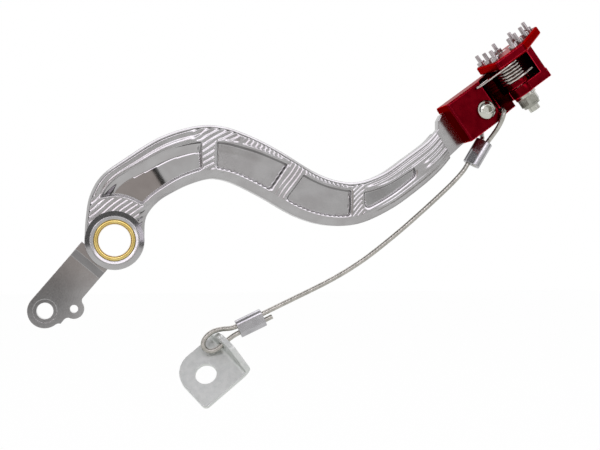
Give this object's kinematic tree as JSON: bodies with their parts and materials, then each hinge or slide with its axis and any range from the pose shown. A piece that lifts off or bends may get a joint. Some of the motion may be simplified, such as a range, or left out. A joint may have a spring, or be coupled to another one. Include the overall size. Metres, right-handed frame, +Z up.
{
  "type": "motorcycle rear brake pedal",
  "caption": "S-curved milled aluminium brake pedal with a bushed hub, clevis tab, sprung folding toe pad and a wire-rope tether with bracket.",
  "frame": {"origin": "middle of the pivot bore, on its axis", "axes": "+X forward from the pivot to the toe pad, +Y inwards to the machine along the pivot axis, +Z up"},
  "size_m": [0.2686, 0.0544, 0.2014],
  "materials": {
    "machined_aluminium": "bright machined and tumbled aluminium",
    "bush_bronze": "plain turned bronze",
    "red_anodised": "deep red anodised aluminium, satin",
    "steel_fastener": "bright plated steel",
    "stud_steel": "turned stainless steel",
    "nut_nylon": "nylon insert",
    "spring_steel": "drawn spring steel",
    "rope_steel": "stranded stainless steel rope",
    "ferrule_aluminium": "pressed aluminium, satin",
    "bracket_steel": "tumbled stainless steel sheet"
  },
  "bodies": {
    "lever": {"pedal_arm": "machined_aluminium", "pivot_bush": "bush_bronze", "tip_carrier": "red_anodised", "carrier_screw": "steel_fastener", "pivot_bolt": "steel_fastener", "spring_collar": "red_anodised", "pivot_washer": "steel_fastener", "pivot_nut": "steel_fastener", "nut_insert": "nut_nylon", "fold_spring": "spring_steel", "rope_cable": "rope_steel", "upper_ferrule": "ferrule_aluminium", "lower_ferrule": "ferrule_aluminium", "rope_bracket": "bracket_steel"},
    "pad": {"toe_pad": "red_anodised", "grip_stud_1": "stud_steel", "grip_stud_2": "stud_steel", "grip_stud_3": "stud_steel", "grip_stud_4": "stud_steel", "grip_stud_5": "stud_steel", "grip_stud_6": "stud_steel", "grip_stud_7": "stud_steel", "grip_stud_8": "stud_steel", "grip_stud_9": "stud_steel"}
  },
  "joints": [
    {"name": "tip_fold", "type": "hinge", "parent": "lever", "child": "pad", "pos_m": [0.20127, -0.008, 0.09372], "axis": [0.5878, 0, -0.809], "range_deg": [0, 80], "stiffness_Nm_per_rad": 0.12, "springref_deg": -34.38, "deforming": ["fold_spring"]}
  ]
}
